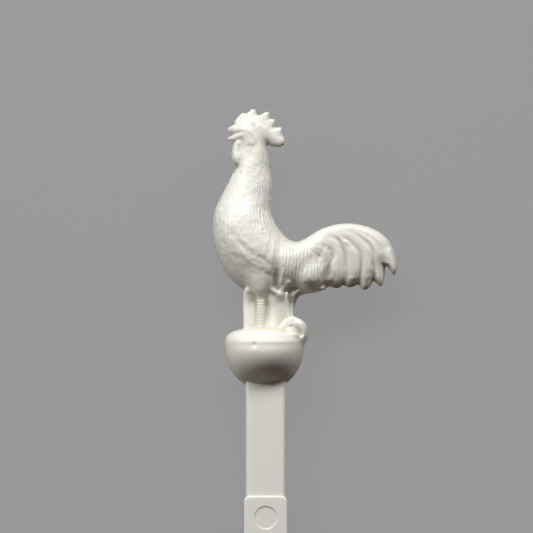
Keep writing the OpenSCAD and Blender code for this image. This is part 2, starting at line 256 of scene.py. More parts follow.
def outline_distance(points, X, Y):
    """Distance to a closed outline, less than zero inside it."""
    p = np.asarray(points, float)
    q = np.roll(p, -1, 0)
    best = np.full(X.shape, 1e9)
    inside = np.zeros(X.shape, bool)
    for a, b in zip(p, q):
        e = b - a
        t = np.clip(((X - a[0]) * e[0] + (Y - a[1]) * e[1]) / (e @ e), 0, 1)
        best = np.minimum(best, np.hypot(X - a[0] - t * e[0], Y - a[1] - t * e[1]))
        hit = (a[1] > Y) != (b[1] > Y)
        if abs(e[1]) > 1e-9:
            inside ^= hit & (X < a[0] + (Y - a[1]) / e[1] * e[0])
    return np.where(inside, -best, best)


def scratch(points, wide, high):
    """A soft ridge along a line on both faces, or a groove where high is less than zero."""
    steps_a_point, far_off, run_out, steepness = 10, 9.0, 3, 1.4
    cut, X, Y = patch(points, margin=max(wide) * 2.2 + 0.1)
    t = np.linspace(0, 1, steps_a_point * len(points))
    line = smooth_line(points, t)
    w = smooth_line(wide, t)
    best = np.full(X.shape, far_off)
    at = np.zeros(X.shape, int)
    for i, p in enumerate(line):
        d = np.hypot(X - p[0], Y - p[1]) / w[i]
        near = d < best
        best[near] = d[near]
        at[near] = i
    fade = np.sin(np.clip(t * run_out, 0, 1) * math.pi / 2)
    fade = fade * np.sin(np.clip((1 - t) * run_out, 0, 1) * math.pi / 2)
    relief[cut] += high * np.exp(-best ** 2 * steepness) * fade[at]


def lift(outline, high, soft):
    """Raises the area inside an outline, with a soft step at its edge."""
    cut, X, Y = patch(outline, margin=soft + 0.1)
    s = np.clip(0.5 - outline_distance(outline, X, Y) / soft, 0, 1)
    relief[cut] += high * s * s * (3 - 2 * s)


rim = 5.5
up = np.array([0, rim])
breast_edge = np.array([(-1.6, 25), (-1.95, 23.9), (-2.95, 22.35), (-4, 21.1), (-4.9, 19.4), (-5.6, 18),
                        (-6.4, 16.2), (-6.6, 14.1), (-6.3, 11.9), (-5.5, 9.6), (-4.2, 7.6), (-2.3, 6.3),
                        (0.2, 5.7), (2.6, 5.8), (4.6, 6.4)]) + up
back_edge = np.array([(-0.3, 25.4), (0.02, 24.4), (0.35, 23.1), (0.55, 21.5), (0.8, 19.7), (0.7, 17.9),
                      (0.6, 16.3), (1.2, 14.7), (2.2, 13.3), (3.1, 12.45), (3.9, 12.25), (4.8, 12.6),
                      (5.8, 13.1), (7, 13.5), (8.2, 13.5)]) + up
body_deep = [1.45, 1.8, 2, 2.2, 2.6, 3, 3.5, 3.9, 4.15, 4.2, 4.05, 3.8, 3.45, 2.9, 1.9]
pillow(breast_edge, back_edge, body_deep, fillet=0.3, cap=1.2, rings=240)

mark_strength = 1.35
for points, wide, high in (
        ([(-3.6, 18.2), (-3, 17.5), (-2.5, 17)], 0.34, -0.1),
        ([(-2.4, 17), (-1.7, 16.5), (-1.2, 16)], 0.3, -0.08),
        ([(-1.2, 16.2), (-0.4, 15.8), (0.2, 15.3), (0.8, 14.8)], 0.3, -0.09),
        ([(-4, 16.5), (-3.8, 16), (-3.5, 15.5)], 0.3, -0.1),
        ([(-0.1, 14.1), (0.4, 13.8), (0.9, 13.2)], 0.32, -0.1),
        ([(-3.3, 17.1), (-2.8, 16.4), (-2.3, 15.8), (-1.9, 15.4)], 0.3, 0.1),
        ([(-1.8, 15.5), (-1, 14.9), (-0.2, 14.6), (0.6, 14.3)], 0.32, 0.05),
        ([(-2.9, 18.1), (-2.2, 17.6)], 0.26, 0.06), ([(-5.4, 18.2), (-5.1, 17.3)], 0.3, -0.06),
        ([(-4.6, 19), (-3.5, 18.5)], 0.36, -0.05),
        ([(-5, 21.2), (-4.4, 20.5)], 0.36, -0.04), ([(0.3, 26.6), (0.45, 25.4), (0.5, 24)], 0.16, 0.09),
        ([(0.8, 26.2), (1, 25.2), (0.85, 24.2)], 0.28, 0.15)):
    scratch(points, [wide] * len(points), high=mark_strength * high)
rod([(1.4, 16, 4.62), (1.4, 14.4, 4.12), (1.25, 12.4, 2.95)], [0.7, 0.72, 0.65], fillet=0.3, take=True)
lift(np.array([(2, 18.4), (4.3, 17.8), (5.5, 16.95), (6.2, 16.35), (6.85, 15.85), (7.2, 15.3), (7.3, 14.6),
               (7.25, 13.8), (7.1, 12.9), (1.55, 12.6), (2, 15.4)]), high=0.12, soft=0.4)
lift(np.array([(-5.6, 21), (-2, 22.4), (1.4, 21), (1.5, 17.4), (0.6, 15.8), (-2, 15.6), (-4.8, 16.4),
               (-6, 18.4)]), high=0.34, soft=3.4)

# The head with its open beak, the wattles under it and the comb over it. All are modelled on the same thin
# blade of plastic, thicker at the skull. The eye and the ear lobe stand off it, and a few tool marks are
# pressed in.


def ball(centre, size, fillet, take=False):
    """An egg-shaped lump, or a hollow of that shape."""
    cut, X, Y = patch(np.array([centre[:2]]), margin=max(size[:2]) + 1.0)
    form = rounded([((X - centre[0])[..., None], size[0]), ((Y - centre[1])[..., None], size[1]),
                    (zs - centre[2], size[2])])
    (cut_away if take else put)(cut, form, fillet)


def puffed(outline, deep, soft, fillet, grow=0.0, low=None):
    """A plate cut to an outline, its edge rounded over a width of soft. Both may differ at its lower end."""
    cut, X, Y = patch(outline, margin=1.2)
    inward = grow - outline_distance(outline, X, Y)
    ends = [np.min(outline, 0)[1], np.max(outline, 0)[1]]
    deep, soft = (np.interp(Y, ends, pair)[..., None] for pair in zip(low or (deep, soft), (deep, soft)))
    side = np.maximum(soft - inward[..., None], 0)
    put(cut, rounded([(side, soft), (zs, deep)]), fillet)


pillow(np.array([(-3.7, 26.9), (-2.9, 27.9), (-1.8, 28.3), (-0.8, 28), (0, 27.3)]) + up,
       np.array([(-3.6, 25.5), (-2.9, 24.7), (-2, 23.9), (-1.1, 23.7), (-0.4, 24.4)]) + up,
       [0.95, 1.45, 1.7, 1.65, 1.4], fillet=0.7)
pillow(np.array([(-1, 28), (0.2, 27.4), (1.1, 26.4), (1.8, 25.8)]) + up,
       np.array([(-0.9, 25.6), (0, 25.15), (0.9, 24.8), (1.8, 24.6)]) + up,
       [1.5, 1.2, 0.9, 0.6], fillet=0.4, cap=0.3)
rod([(0.2, 25.6 + rim, 0.5), (1, 25.2 + rim, 0.4), (1.8, 25 + rim, 0.3)], [0.6, 0.5, 0.4], fillet=0.6)
rod([(-2.6, 26.5 + rim, 0.5), (-3.5, 26.5 + rim, 0.4), (-4.15, 26.42 + rim, 0.15), (-4.6, 26.38 + rim, 0)],
    [0.9, 0.66, 0.46, 0.2], fillet=0.3, flat=0.9)
pillow(np.array([(-3.5, 26.2), (-3.3, 25), (-3.2, 23.8), (-3.5, 22.2)]) + up,
       np.array([(-0.9, 26.2), (-1.2, 24.9), (-1.6, 23.8), (-2.3, 22.2)]) + up,
       [1.5, 1.42, 1.3, 1.3], fillet=0.6)
rod([(-2.7, 25.9 + rim, 1), (-3.3, 25.62 + rim, 0.75), (-3.9, 25.34 + rim, 0.4), (-4.35, 25.28 + rim, 0.1),
     (-4.6, 25.32 + rim, 0)], [0.34, 0.42, 0.38, 0.28, 0.18], fillet=0.3, flat=1.1)
wattle_edge = np.array([(-3.2, 25.5), (-3.75, 25.1), (-4.1, 24.3), (-4.25, 23.4), (-4.2, 22.6), (-3.9, 22.05),
                        (-3.4, 21.95), (-3, 22.3), (-2.8, 23.1), (-2.7, 24.2), (-2.7, 25.2)]) + up
puffed(wattle_edge, deep=1.15, soft=0.6, fillet=0.25, grow=0.05)
comb_edge = np.array([(-3.85, 27.4), (-3.4, 28), (-2.9, 28.45), (-2.35, 28.35), (-1.75, 28.9), (-1.35, 28.85),
                      (-1.1, 28.1), (-0.6, 28.2), (0, 28.55), (0.4, 28.5), (0.4, 27.7), (1.1, 27.65),
                      (1.15, 27.45), (0.9, 26.6), (1.85, 26.65), (2, 26.45), (1.97, 25.6), (2.3, 25.05),
                      (2.2, 24.6), (1.9, 24.35), (1.2, 24.3), (0.5, 24.5), (-0.1, 24.9), (-1.8, 25.4),
                      (-3.4, 26.3)]) + up
puffed(comb_edge, deep=0.8, soft=0.3, fillet=0.3, grow=0.08, low=(0.85, 0.6))
ball((-1.66, 27.15 + rim, 1.46), (0.34, 0.32, 0.15), fillet=0.2)
ball((-1.84, 26.1 + rim, 1.6), (0.3, 0.26, 0.22), fillet=0.15)
ball((-1.84, 25.1 + rim, 1.35), (0.52, 0.62, 0.36), fillet=0.25)
ball((-1.84, 25.15 + rim, 1.9), (0.24, 0.32, 0.2), fillet=0.15, take=True)
rod([(-1.8, 24.9 + rim, 0.85), (-2, 23.9 + rim, 0.8), (-2.2, 22.8 + rim, 0.95), (-2.3, 21.9 + rim, 1.2)],
    [0.62, 0.78, 0.72, 0.5], fillet=0.8)
scratch(np.array([(-2.15, 25.6), (-1.6, 25.85), (-1.3, 25.3), (-1.45, 24.65), (-2, 24.4)]) + up,
        [0.15, 0.17, 0.18, 0.17, 0.15], high=0.13)
scratch(np.array([(-2.35, 24.2), (-2.05, 24.3), (-1.75, 24.5)]) + up, [0.16, 0.2, 0.16], high=-0.14)
scratch(np.array([(-3.5, 24.7), (-3.45, 24.1), (-3.35, 23.5)]) + up, [0.25, 0.34, 0.26], high=-0.12)
scratch(np.array([(-3.95, 23.3), (-3.65, 22.95), (-3.3, 23.1)]) + up, [0.24, 0.28, 0.24], high=0.1)
scratch(np.array([(-4.4, 25.8), (-3.4, 25.98), (-2.6, 26.15)]) + up, [0.16, 0.16, 0.12], high=-0.16)

# The tail: five sickle feathers that arch over and hang down, a short one beside them, and the wide coverts
# at its root. Each feather is a soft ridge on one plate, and small curls mark where they overlap.


def ridge(one, two, high):
    """A soft rounded ridge between two edge lines."""
    one, two = np.asarray(one, float), np.asarray(two, float)
    cut, X, Y = patch(np.concatenate([one, two]), margin=0.3)
    fullness, start_rate, end_rate = 0.7, 2.2, 6
    along, u, past, _ = between(one, two, np.stack([X.ravel(), Y.ravel()], 1), rings=120)
    crown = np.clip(1 - u ** 2, 0, 1) ** fullness
    crown = crown * np.clip(along * start_rate, 0, 1) * np.clip((1 - along) * end_rate, 0, 1)
    relief[cut] += high * np.where(past > 0, 0, crown).reshape(X.shape)


tail_feathers = [
    ([(3.6, 12), (5.4, 13.1), (7.2, 14.1), (9.4, 14.65), (11.6, 14.55), (13.6, 13.95), (15.1, 12.9),
      (15.95, 11.4), (16.35, 9.7), (16.32, 8.75)],
     [(4.4, 11.4), (6.2, 12.4), (7.9, 13.3), (9.5, 13.9), (11.4, 13.65), (12.7, 13.15), (13.7, 12.4),
      (14.4, 11.3), (14.85, 9.8), (15.72, 8.6)], 0.6),
    ([(9.5, 14.1), (11.4, 13.7), (12.7, 13.15), (13.7, 12.4), (14.3, 11.5), (14.65, 10.6), (14.85, 9.3),
      (14.95, 8.2), (14.75, 7.3), (14.4, 6.9)],
     [(9.3, 13.7), (10.8, 13.5), (11.8, 13), (12.65, 12.25), (13.15, 11.5), (13.35, 10.8), (13.4, 9.7),
      (13.55, 8.6), (13.55, 7.7), (14, 7.05)], 0.8),
    ([(9.3, 13.7), (10.8, 13.5), (11.8, 13), (12.65, 12.25), (13.15, 11.5), (13.35, 10.8), (13.4, 9.7),
      (13.45, 8.6), (13.2, 7.3), (12.8, 6.6)],
     [(9, 12.95), (10, 12.9), (10.5, 12.4), (11.15, 11.75), (11.65, 11.2), (11.9, 10.5), (11.97, 9.7),
      (11.9, 8.7), (11.7, 7.6), (12.03, 6.5)], 1.0),
    ([(9, 12.95), (10, 12.9), (10.5, 12.4), (11.15, 11.75), (11.65, 11.2), (11.9, 10.5), (11.95, 9.7),
      (11.9, 8.7), (11.6, 7.5), (11, 6.95)],
     [(7.6, 12.9), (8.4, 12.95), (9.05, 12.65), (9.4, 12), (9.75, 11.1), (9.95, 10.3), (10.03, 9.1),
      (10.15, 8.2), (9.95, 7.3), (10.2, 6.75)], 1.0),
    ([(7, 12.7), (8.4, 12.95), (9, 12.6), (9.4, 11.9), (9.75, 11.1), (9.95, 10.3), (10, 9.1), (10.1, 8.2),
      (9.8, 7.3), (9.25, 6.8)],
     [(6.6, 12), (7.4, 11.85), (8, 11.4), (8.4, 10.85), (8.35, 10.1), (7.95, 9.4), (7.7, 8.6), (7.75, 7.9),
      (7.85, 7.3), (8.1, 6.8)], 1.0),
    ([(5.6, 12), (6.8, 11.95), (7.5, 11.6), (8, 11.1), (8.2, 10.4), (8, 9.7), (7.6, 9.1)],
     [(5.4, 11.4), (6.2, 10.85), (6.8, 10.4), (7.15, 9.9), (7.25, 9.5), (7.2, 9.2), (7.1, 8.9)], 0.6)]
pillow(np.array([(1.5, 12.4), (3.7, 12.3), (5.6, 12), (7.1, 11.2), (7.9, 9.9), (8.1, 8.5)]) + up,
       np.array([(0.6, 8), (2.4, 7.2), (4, 6.9), (5.4, 6.9), (6.6, 7.1), (7.4, 7.5)]) + up,
       [3.5, 3.2, 2.7, 2.2, 1.8, 1.4], fillet=0.8)
ball((5.2, 14, 0.6), (2.2, 2.3, 2.5), fillet=0.6)
tail_edge = np.array([(2.6, 11.6), (3.6, 12), (5.4, 13.1), (7.2, 14.1), (9.4, 14.65), (11.6, 14.55),
                      (13.6, 13.95), (15.1, 12.9), (15.95, 11.4), (16.35, 9.7), (16.32, 8.9), (16.1, 8.35),
                      (15.85, 8.5), (15.5, 9.05), (15.25, 9.4), (14.95, 9.4), (14.85, 8.3), (14.7, 7.3),
                      (14.4, 6.85), (14, 7.05), (13.5, 7.5), (13.2, 7.1), (12.8, 6.55), (12.3, 6.4),
                      (11.9, 6.65), (11.6, 7.05), (11, 6.8), (10.4, 6.7), (9.9, 6.9), (9.6, 6.95),
                      (9.2, 6.65), (8.6, 6.6), (8, 6.8), (7, 6.6), (6, 6.3), (4.9, 6.4), (3.4, 6.9)])
puffed(smooth_line(tail_edge, np.linspace(0, 1, 110)) + up, deep=1.85, soft=1.2, fillet=0.5, low=(0.95, 3))
tail_tip = np.array([(14.2, 11.6), (15.6, 11.6), (16.1, 10.6), (16.3, 9.7), (16.3, 8.9), (16.1, 8.4),
                     (15.85, 8.55), (15.5, 9.1), (15.25, 9.42), (14.95, 9.42), (14.5, 9.8)]) + up
puffed(tail_tip, deep=1.2, soft=0.4, fillet=0.4)
rod([(8, 14.6, 2.3), (7.85, 13.8, 2), (7.7, 12.8, 1.75)], [0.45, 0.72, 0.6], fillet=0.4, take=True)
feather_high = 0.3
for outer, inner, share in tail_feathers:
    ridge(np.array(outer) + up, np.array(inner) + up, high=feather_high * share)

for points, wide, high in (
        ([(5.2, 17.1), (6.1, 16.4), (6.9, 15.8)], 0.2, -0.12), ([(7.9, 16.7), (8.2, 16.3)], 0.16, 0.1),
        ([(6.9, 17.35), (7.5, 17.3), (8.05, 16.9), (8.45, 16.4)], 0.18, -0.06),
        ([(9.4, 18.35), (10.1, 18.2), (10.6, 17.7), (10.85, 17.1)], 0.18, -0.07),
        ([(9.8, 18.1), (10.3, 17.6)], 0.16, 0.14),
        ([(7.6, 18.4), (8.5, 18.45), (9.1, 18.1), (9.5, 17.3), (9.85, 16.5), (10, 15.3), (10.1, 14)],
         0.24, -0.12),
        ([(9.6, 19.3), (10.8, 19.1), (11.8, 18.5), (12.7, 17.7), (13.2, 16.9)], 0.24, -0.05),
        ([(7.9, 15), (7.8, 14.1), (7.7, 13.1)], 0.42, -0.2), ([(6.8, 14), (7.15, 14.6)], 0.22, 0.12),
        ([(11.8, 15.9), (11.95, 15), (11.85, 13.9), (11.7, 12.9)], 0.24, -0.12),
        ([(13.4, 15.5), (13.5, 14.4), (13.5, 13.4)], 0.22, -0.12), ([(10.6, 13.2), (11, 13.6)], 0.2, 0.1),
        ([(12.7, 13.2), (12.95, 13.9)], 0.18, 0.1), ([(8.5, 14.9), (8.6, 13.8)], 0.22, 0.08)):
    scratch(points, [wide] * len(points), high=high)

# The legs in their tuft of grass. The grass is a solid web that joins the body to the perch, and its
# blades, the thigh and the shank stand off it. Three soft arcs cross the top of the shank.
pillow(np.array([(-2.85, 7.2), (-2.85, 5.2), (-2.85, 3.2), (-2.85, 1.1)]) + up,
       np.array([(4.6, 6.6), (3.75, 4.9), (3.4, 3.1), (3.4, 1.1)]) + up,
       [1.9, 1.7, 1.8, 2.5], fillet=0.4, full=1.35)
lift(np.array([(1.7, 10.6), (4, 10.6), (3.7, 7.6), (1.9, 7.6)]), high=-0.4, soft=1.5)
rod([(-1, 9.4 + rim, 2.05), (-0.9, 8 + rim, 2.1), (-0.75, 6.9 + rim, 2), (-0.65, 5.85 + rim, 1.85)],
    [1.2, 1.36, 1.2, 0.65], fillet=0.9)
grass_blades = [
    ([(-2.25, 1.2, 1.8), (-2.3, 4.4, 1.3), (-2.35, 5.8, 1.5), (-2.15, 6.4, 1.95), (-1.6, 6.45, 2.15)],
     [0.56, 0.56, 0.42, 0.34, 0.28]),
    ([(1.2, 1.6, 1.9), (1.1, 3.6, 1.5), (0.8, 5.2, 1.6), (0.4, 6.5, 2.1)], [0.5, 0.5, 0.4, 0.2]),
    ([(1.7, 1.9, 1.7), (1.65, 4.4, 1.45), (1.7, 5.7, 1.95)], [0.45, 0.45, 0.22]),
    ([(2.1, 2.5, 1.5), (1.95, 4.8, 1.5), (1.95, 6.2, 2), (2.35, 6.9, 2.3), (2.8, 7.4, 2.6)],
     [0.4, 0.36, 0.26, 0.24, 0.22]),
    ([(2.8, 2.5, 1.4), (2.65, 4.2, 1.5), (2.62, 5.95, 2)], [0.45, 0.36, 0.2]),
    ([(0.35, 6.7, 2.4), (1, 6.3, 2.3), (1.75, 5.85, 2.1)], [0.16, 0.22, 0.24]),
    ([(-1.62, 1.4, 1.8), (-1.62, 3.6, 1.5), (-1.6, 5.2, 1.2)], [0.4, 0.38, 0.3]),
    ([(3, 2.8, 1), (3.1, 4.7, 0.9), (3.45, 5.8, 1.3), (4.2, 6.4, 1.6)], [0.42, 0.4, 0.3, 0.2])]
puffed(np.array([(2.6, 3.6), (3.35, 3.8), (3.5, 4.8), (3.9, 5.5), (4.9, 5.9), (6.3, 6.15), (7.5, 6.5),
                 (7.3, 6.8), (5, 7.3), (2.6, 7.6)]) + up, deep=1, soft=0.7, fillet=0.5)
ball((-1.95, 5.9 + rim, 1.4), (0.7, 0.9, 0.55), fillet=0.5)
ball((0.9, 5.5 + rim, 1.4), (1, 0.9, 0.7), fillet=0.5)
for points, thick in grass_blades:
    rod(np.array(points) + np.array([0, rim, 0]), thick, fillet=0.35)
rod([(-0.62, 1.3 + rim, 1.96), (-0.6, 5.6 + rim, 1.95)], [0.48, 0.46], fillet=0.3)
for low, left in ((11.9, -1.6), (11.45, -1.35), (11, -1.2)):
    scratch([(left, low + 0.3), (-0.75, low), (-0.15, low + 0.25)], [0.15, 0.16, 0.15], high=0.07)

# The perch: a half ball with a domed top and a shallow belt under its rim, and a curled pebble behind the
# bird. It is a turned form, flatter front to back towards the stem, with a small notch in its rim.
perch_x, perch_high = -0.15, 7.2
perch_side = smooth_line([(0, -0.12), (1.6, -0.1), (2.42, 0.02), (2.75, 0.25), (3.2, 0.62), (3.68, 1.15),
                          (4.03, 1.65), (4.42, 2.4), (4.68, 3.15), (4.84, 3.9), (4.92, 4.6), (4.96, 5.2),
                          (4.92, 5.7), (4.72, 6.1), (4.4, 6.42), (3.7, 6.8), (2.5, 7.08), (1.2, 7.18),
                          (0, 7.2)], np.linspace(0, 1, 90))
perch_flat = smooth_line([(-1, 2.4), (0, 2.4), (0.5, 2.03), (1, 1.61), (1.5, 1.385), (2, 1.25), (2.5, 1.168),
                          (3, 1.118), (3.5, 1.082), (4, 1.066), (4.4, 1.065), (4.8, 1.077), (5.2, 1.1),
                          (5.6, 1.12), (6.2, 1.14), (7.5, 1.14)], np.linspace(0, 1, 90))
cut, X, Y = patch(np.array([(perch_x - 5, 0), (perch_x + 5, perch_high)]), margin=1.0)
reach = np.arange(0, 12, 0.08)
away = outline_distance(np.concatenate([perch_side, perch_side[-2:0:-1] * (-1, 1)]),
                        *np.meshgrid(reach, ys[cut[1]], indexing="ij"))
flat = np.interp(ys[cut[1]], perch_flat[:, 0], perch_flat[:, 1])
radius = np.sqrt((X - perch_x)[..., None] ** 2 + (zs * flat[:, None]) ** 2)
put(cut, np.stack([np.interp(radius[:, j], reach, away[:, j]) for j in range(len(flat))], 1), fillet=0.35)
ball((3.45, 6.7, 0.9), (1.8, 1.8, 1.7), fillet=0.5)
ball((3.9, 6.1, 0.6), (1.3, 1.2, 1.1), fillet=0.4)
rod([(1.95, 7.2, 2.1), (2.6, 7.85, 2), (3.4, 8.1, 1.8), (4.15, 7.8, 1.7), (4.7, 7.15, 1.4), (4.7, 6.4, 1)],
    [0.2, 0.34, 0.4, 0.4, 0.38, 0.3], fillet=0.4)
rod([(2.35, 6.95, 2.8), (3.15, 7.25, 2.85), (4, 6.95, 2.5), (4.4, 6.35, 2.1)],
    [0.38, 0.62, 0.55, 0.35], fillet=0.2, take=True)
ball((3.2, 7.35, 2.25), (0.16, 0.14, 0.2), fillet=0.08, take=True)
scratch([(2.8, 6.4), (3.5, 6.45), (4.2, 6.1)], [0.2, 0.26, 0.2], high=0.14)
scratch([(-4.6, 5.45), (-2.5, 5.48), (0, 5.5), (2.5, 5.48), (4.4, 5.5)],
        [0.26, 0.28, 0.28, 0.28, 0.26], high=0.13)
scratch([(-4.7, 4.45), (-2.5, 4.4), (0, 4.4), (2.5, 4.4), (4.6, 4.45)], [0.5, 0.6, 0.6, 0.6, 0.5], high=0.04)
scratch([(-1.46, 4.75), (-1.42, 5.15), (-1.34, 5.55)], [0.2, 0.26, 0.2], high=-0.22)
rod([(-1.3, 5.6, 4.42), (-0.95, 6.05, 4.2), (-0.5, 6.3, 4)], [0.14, 0.12, 0.08], fillet=0.1, take=True)

# The skin of the clay. The finer work of the modeller's tool is put on both faces, the recesses are marked
# for painted warm shade in the colour there, and a closed mesh is drawn where the levels cross zero.


def soften(field):
    """Smooths a field once, across and then along."""
    field[1:-1] = (field[:-2] + 2 * field[1:-1] + field[2:]) / 4
    field[:, 1:-1] = (field[:, :-2] + 2 * field[:, 1:-1] + field[:, 2:]) / 4


for _ in range(2):
    soften(relief)
slope = np.gradient(clay, fine, axis=2)
clay -= relief[..., None] * np.clip(np.abs(slope), 0, 1)
face = fine * (clay < 0).sum(2)
round_about = face.copy()
shade_reach, pass_reach = 1.2, 0.16
for _ in range(round(shade_reach / fine ** 2 * pass_reach)):
    soften(round_about)
# How far the skin lies below its smoothed surroundings is the mask for the painted shade in recesses.
least_dip, full_dip = 0.01, 0.1
hollow = np.clip((round_about - face - least_dip) / full_dip, 0, 1) * (face > 0)
hollow[1:-1, 1:-1] = (hollow[:-2, 1:-1] + hollow[2:, 1:-1] + hollow[1:-1, :-2] + hollow[1:-1, 2:]) / 4
whole = np.concatenate([clay[:, :, :0:-1], clay], 2)
both = np.concatenate([-zs[:0:-1], zs])


def skin_of(levels, axes):
    """A closed mesh where levels cross zero, with a corner in each crossed cell."""
    shape = np.array(levels.shape) - 1
    low = levels < 0
    total = np.zeros((int(np.prod(shape)), 3))
    count = np.zeros(int(np.prod(shape)))
    crossed = []
    for axis in range(3):
        n = levels.shape[axis]
        first = [slice(None)] * 3
        second = [slice(None)] * 3
        first[axis], second[axis] = slice(0, n - 1), slice(1, n)
        a, b = levels[tuple(first)], levels[tuple(second)]
        at = np.argwhere(low[tuple(first)] != low[tuple(second)])
        va, vb = a[tuple(at.T)], b[tuple(at.T)]
        point = np.stack([axes[i][at[:, i]] for i in range(3)], 1).astype(float)
        point[:, axis] += va / (va - vb) * (axes[axis][at[:, axis] + 1] - axes[axis][at[:, axis]])
        p, q = [i for i in range(3) if i != axis]
        cells = []
        for dp, dq in ((0, 0), (-1, 0), (-1, -1), (0, -1)):
            c = at.copy()
            c[:, p] += dp
            c[:, q] += dq
            flat = (c[:, 0] * shape[1] + c[:, 1]) * shape[2] + c[:, 2]
            cells.append(flat)
            for i in range(3):
                total[:, i] += np.bincount(flat, point[:, i], len(total))
            count += np.bincount(flat, minlength=len(count))
        quad = np.stack(cells, 1)
        turned = (va < 0) != (axis == 1)
        quad[~turned] = quad[~turned][:, ::-1]
        crossed.append(quad)
    used = np.flatnonzero(count)
    number = np.full(len(count), -1)
    number[used] = np.arange(len(used))
    return total[used] / count[used][:, None], number[np.concatenate(crossed)]


def in_scene(name, data):
    """A new object of that name, put in the scene."""
    made = bpy.data.objects.new(name, data)
    bpy.context.scene.collection.objects.link(made)
    return made


corners, quads = skin_of(whole, [xs, ys, both])
mesh = bpy.data.meshes.new("stirrer_moulding")
mesh.vertices.add(len(corners))
mesh.vertices.foreach_set("co", corners.astype(np.float32).ravel())
mesh.loops.add(len(quads) * 4)
mesh.loops.foreach_set("vertex_index", quads.astype(np.int32).ravel())
mesh.polygons.add(len(quads))
mesh.polygons.foreach_set("loop_start", np.arange(0, len(quads) * 4, 4, dtype=np.int32))
mesh.update(calc_edges=True)
mesh.validate()
i, j = (np.clip(np.round((corners[:, n] - line[0]) / fine).astype(int), 0, len(line) - 1)
        for n, line in ((0, xs), (1, ys)))
# The recess mask goes on the skin, where the plastic mixes painted shade into its colour.
mesh.attributes.new("recess_shade", "FLOAT", "POINT").data.foreach_set("value", hollow[i, j].astype(np.float32))
cockerel = in_scene("stirrer_moulding", mesh)

# The fine strands of feather: on the neck and the saddle, along the tail feathers, and short ones over the
# breast. A node tree raises them along the way that the feathers lie, which each corner of the skin carries
# as how far across and how far along it is.
across, along, cover = (np.zeros(len(corners)) for _ in range(3))
strand_areas = []


def strand_area(one, two, count, height, ends=0.2, sides=0.3):
    """Marks the skin between two edge lines for strands that run along it, with soft limits."""
    one, two = np.asarray(one, float), np.asarray(two, float)
    margin, side_limit, apart = 0.4, 1.05, 20
    lo, hi = np.minimum(one.min(0), two.min(0)) - margin, np.maximum(one.max(0), two.max(0)) + margin
    near = np.flatnonzero(np.all((corners[:, :2] > lo) & (corners[:, :2] < hi), 1))
    t, u, past, _ = between(one, two, corners[near, :2], rings=90)
    middle = smooth_line((one + two) / 2, np.linspace(0, 1, 40))
    run = np.linalg.norm(np.diff(middle, axis=0), axis=1).sum()
    amount = np.clip(t / ends, 0, 1) * np.clip((1 - t) / ends, 0, 1)
    amount = amount * np.clip((side_limit - np.abs(u)) / sides, 0, 1)
    amount = np.where(past > 0.01, 0, height * amount)
    better = amount > cover[near]
    pick = near[better]
    across[pick] = (u[better] + 1) * count / 2 + apart * len(strand_areas)
    along[pick] = t[better] * run
    cover[pick] = amount[better]
    strand_areas.append(count)


strand_area([(-1.2, 29.6), (-1.5, 27), (-1.8, 24.2), (-2.3, 21.8), (-2.4, 19.2)],
            [(0.4, 29.6), (0.75, 27), (0.95, 24.2), (0.9, 21.8), (2, 19.2)],
            count=9, height=0.75, ends=0.1, sides=0.5)
strand_area([(2.1, 17.9), (1.9, 15.4), (1.5, 12.6)], [(5.4, 17.6), (5.5, 15.4), (5.2, 12.8)],
            count=8, height=1.2)
strand_area([(-5.6, 22.6), (-6.4, 19.6), (-5.8, 16), (-4.4, 13)],
            [(-2.8, 22.6), (-3, 19.6), (-2.4, 16.6), (-1.6, 13.6)], count=8, height=0.32)
strand_area([(-3.1, 19.6), (-2.4, 17.6), (-1, 15.6)], [(1.7, 19.6), (2, 17.4), (1.2, 15)],
            count=9, height=0.35)
strand_area([(5.2, 17), (5.3, 15), (5, 12.6)], [(6.8, 16.4), (7.5, 15), (7.2, 12.6)], count=6, height=0.85)
for outer, inner, share in tail_feathers:
    strand_area(np.array(outer) + up, np.array(inner) + up, count=4, height=0.45)
tooled = np.clip((corners[:, 1] - 11) / 3, 0, 1) * np.interp(corners[:, 1], [29, 31], [1, 0.25])
tooled *= np.interp(corners[:, 0], [5, 9], [1, 0.4])
for name, values in (("across", across), ("along", along), ("cover", cover), ("tooled", tooled)):
    mesh.attributes.new(name, "FLOAT", "POINT").data.foreach_set("value", values.astype(np.float32))

feathering = bpy.data.node_groups.new("feather strands", "GeometryNodeTree")
feathering.interface.new_socket("Moulding", in_out="INPUT", socket_type="NodeSocketGeometry")
feather_inputs = inputs_of(feathering, (("Strand height", "NodeSocketFloat", 0.09),
                                        ("Strand waviness", "NodeSocketFloat", 0.9),
                                        ("Broken strands", "NodeSocketFloat", 0.7),
                                        ("Tooling height", "NodeSocketFloat", 0.03),
                                        ("Tooling scale", "NodeSocketFloat", 1.0),
                                        ("Seed", "NodeSocketInt", 4),
                                        ("Plastic", "NodeSocketMaterial", None)))
feathering.interface.new_socket("Moulding", in_out="OUTPUT", socket_type="NodeSocketGeometry")
tree = feathering.nodes
join = feathering.links.new


def sum_of(kind, *values):
    """A Math node of that kind in the tree at hand, with sockets or numbers as its values."""
    made = tree.new("ShaderNodeMath")
    made.operation = kind
    for i, v in enumerate(values):
        if isinstance(v, (int, float)):
            made.inputs[i].default_value = v
        else:
            join(v, made.inputs[i])
    return made.outputs[0]


def noise_at(x, y, z):
    """Noise at a point made of three values."""
    spot = tree.new("ShaderNodeCombineXYZ")
    for i, v in enumerate((x, y, z)):
        join(v, spot.inputs[i])
    made = tree.new("ShaderNodeTexNoise")
    made.inputs["Scale"].default_value = 1.0
    made.inputs["Detail"].default_value = 1.5
    join(spot.outputs[0], made.inputs["Vector"])
    return made.outputs["Fac"]


def carried(name):
    """A value that each corner of the skin carries."""
    made = tree.new("GeometryNodeInputNamedAttribute")
    made.data_type = "FLOAT"
    made.inputs["Name"].default_value = name
    return made.outputs["Attribute"]


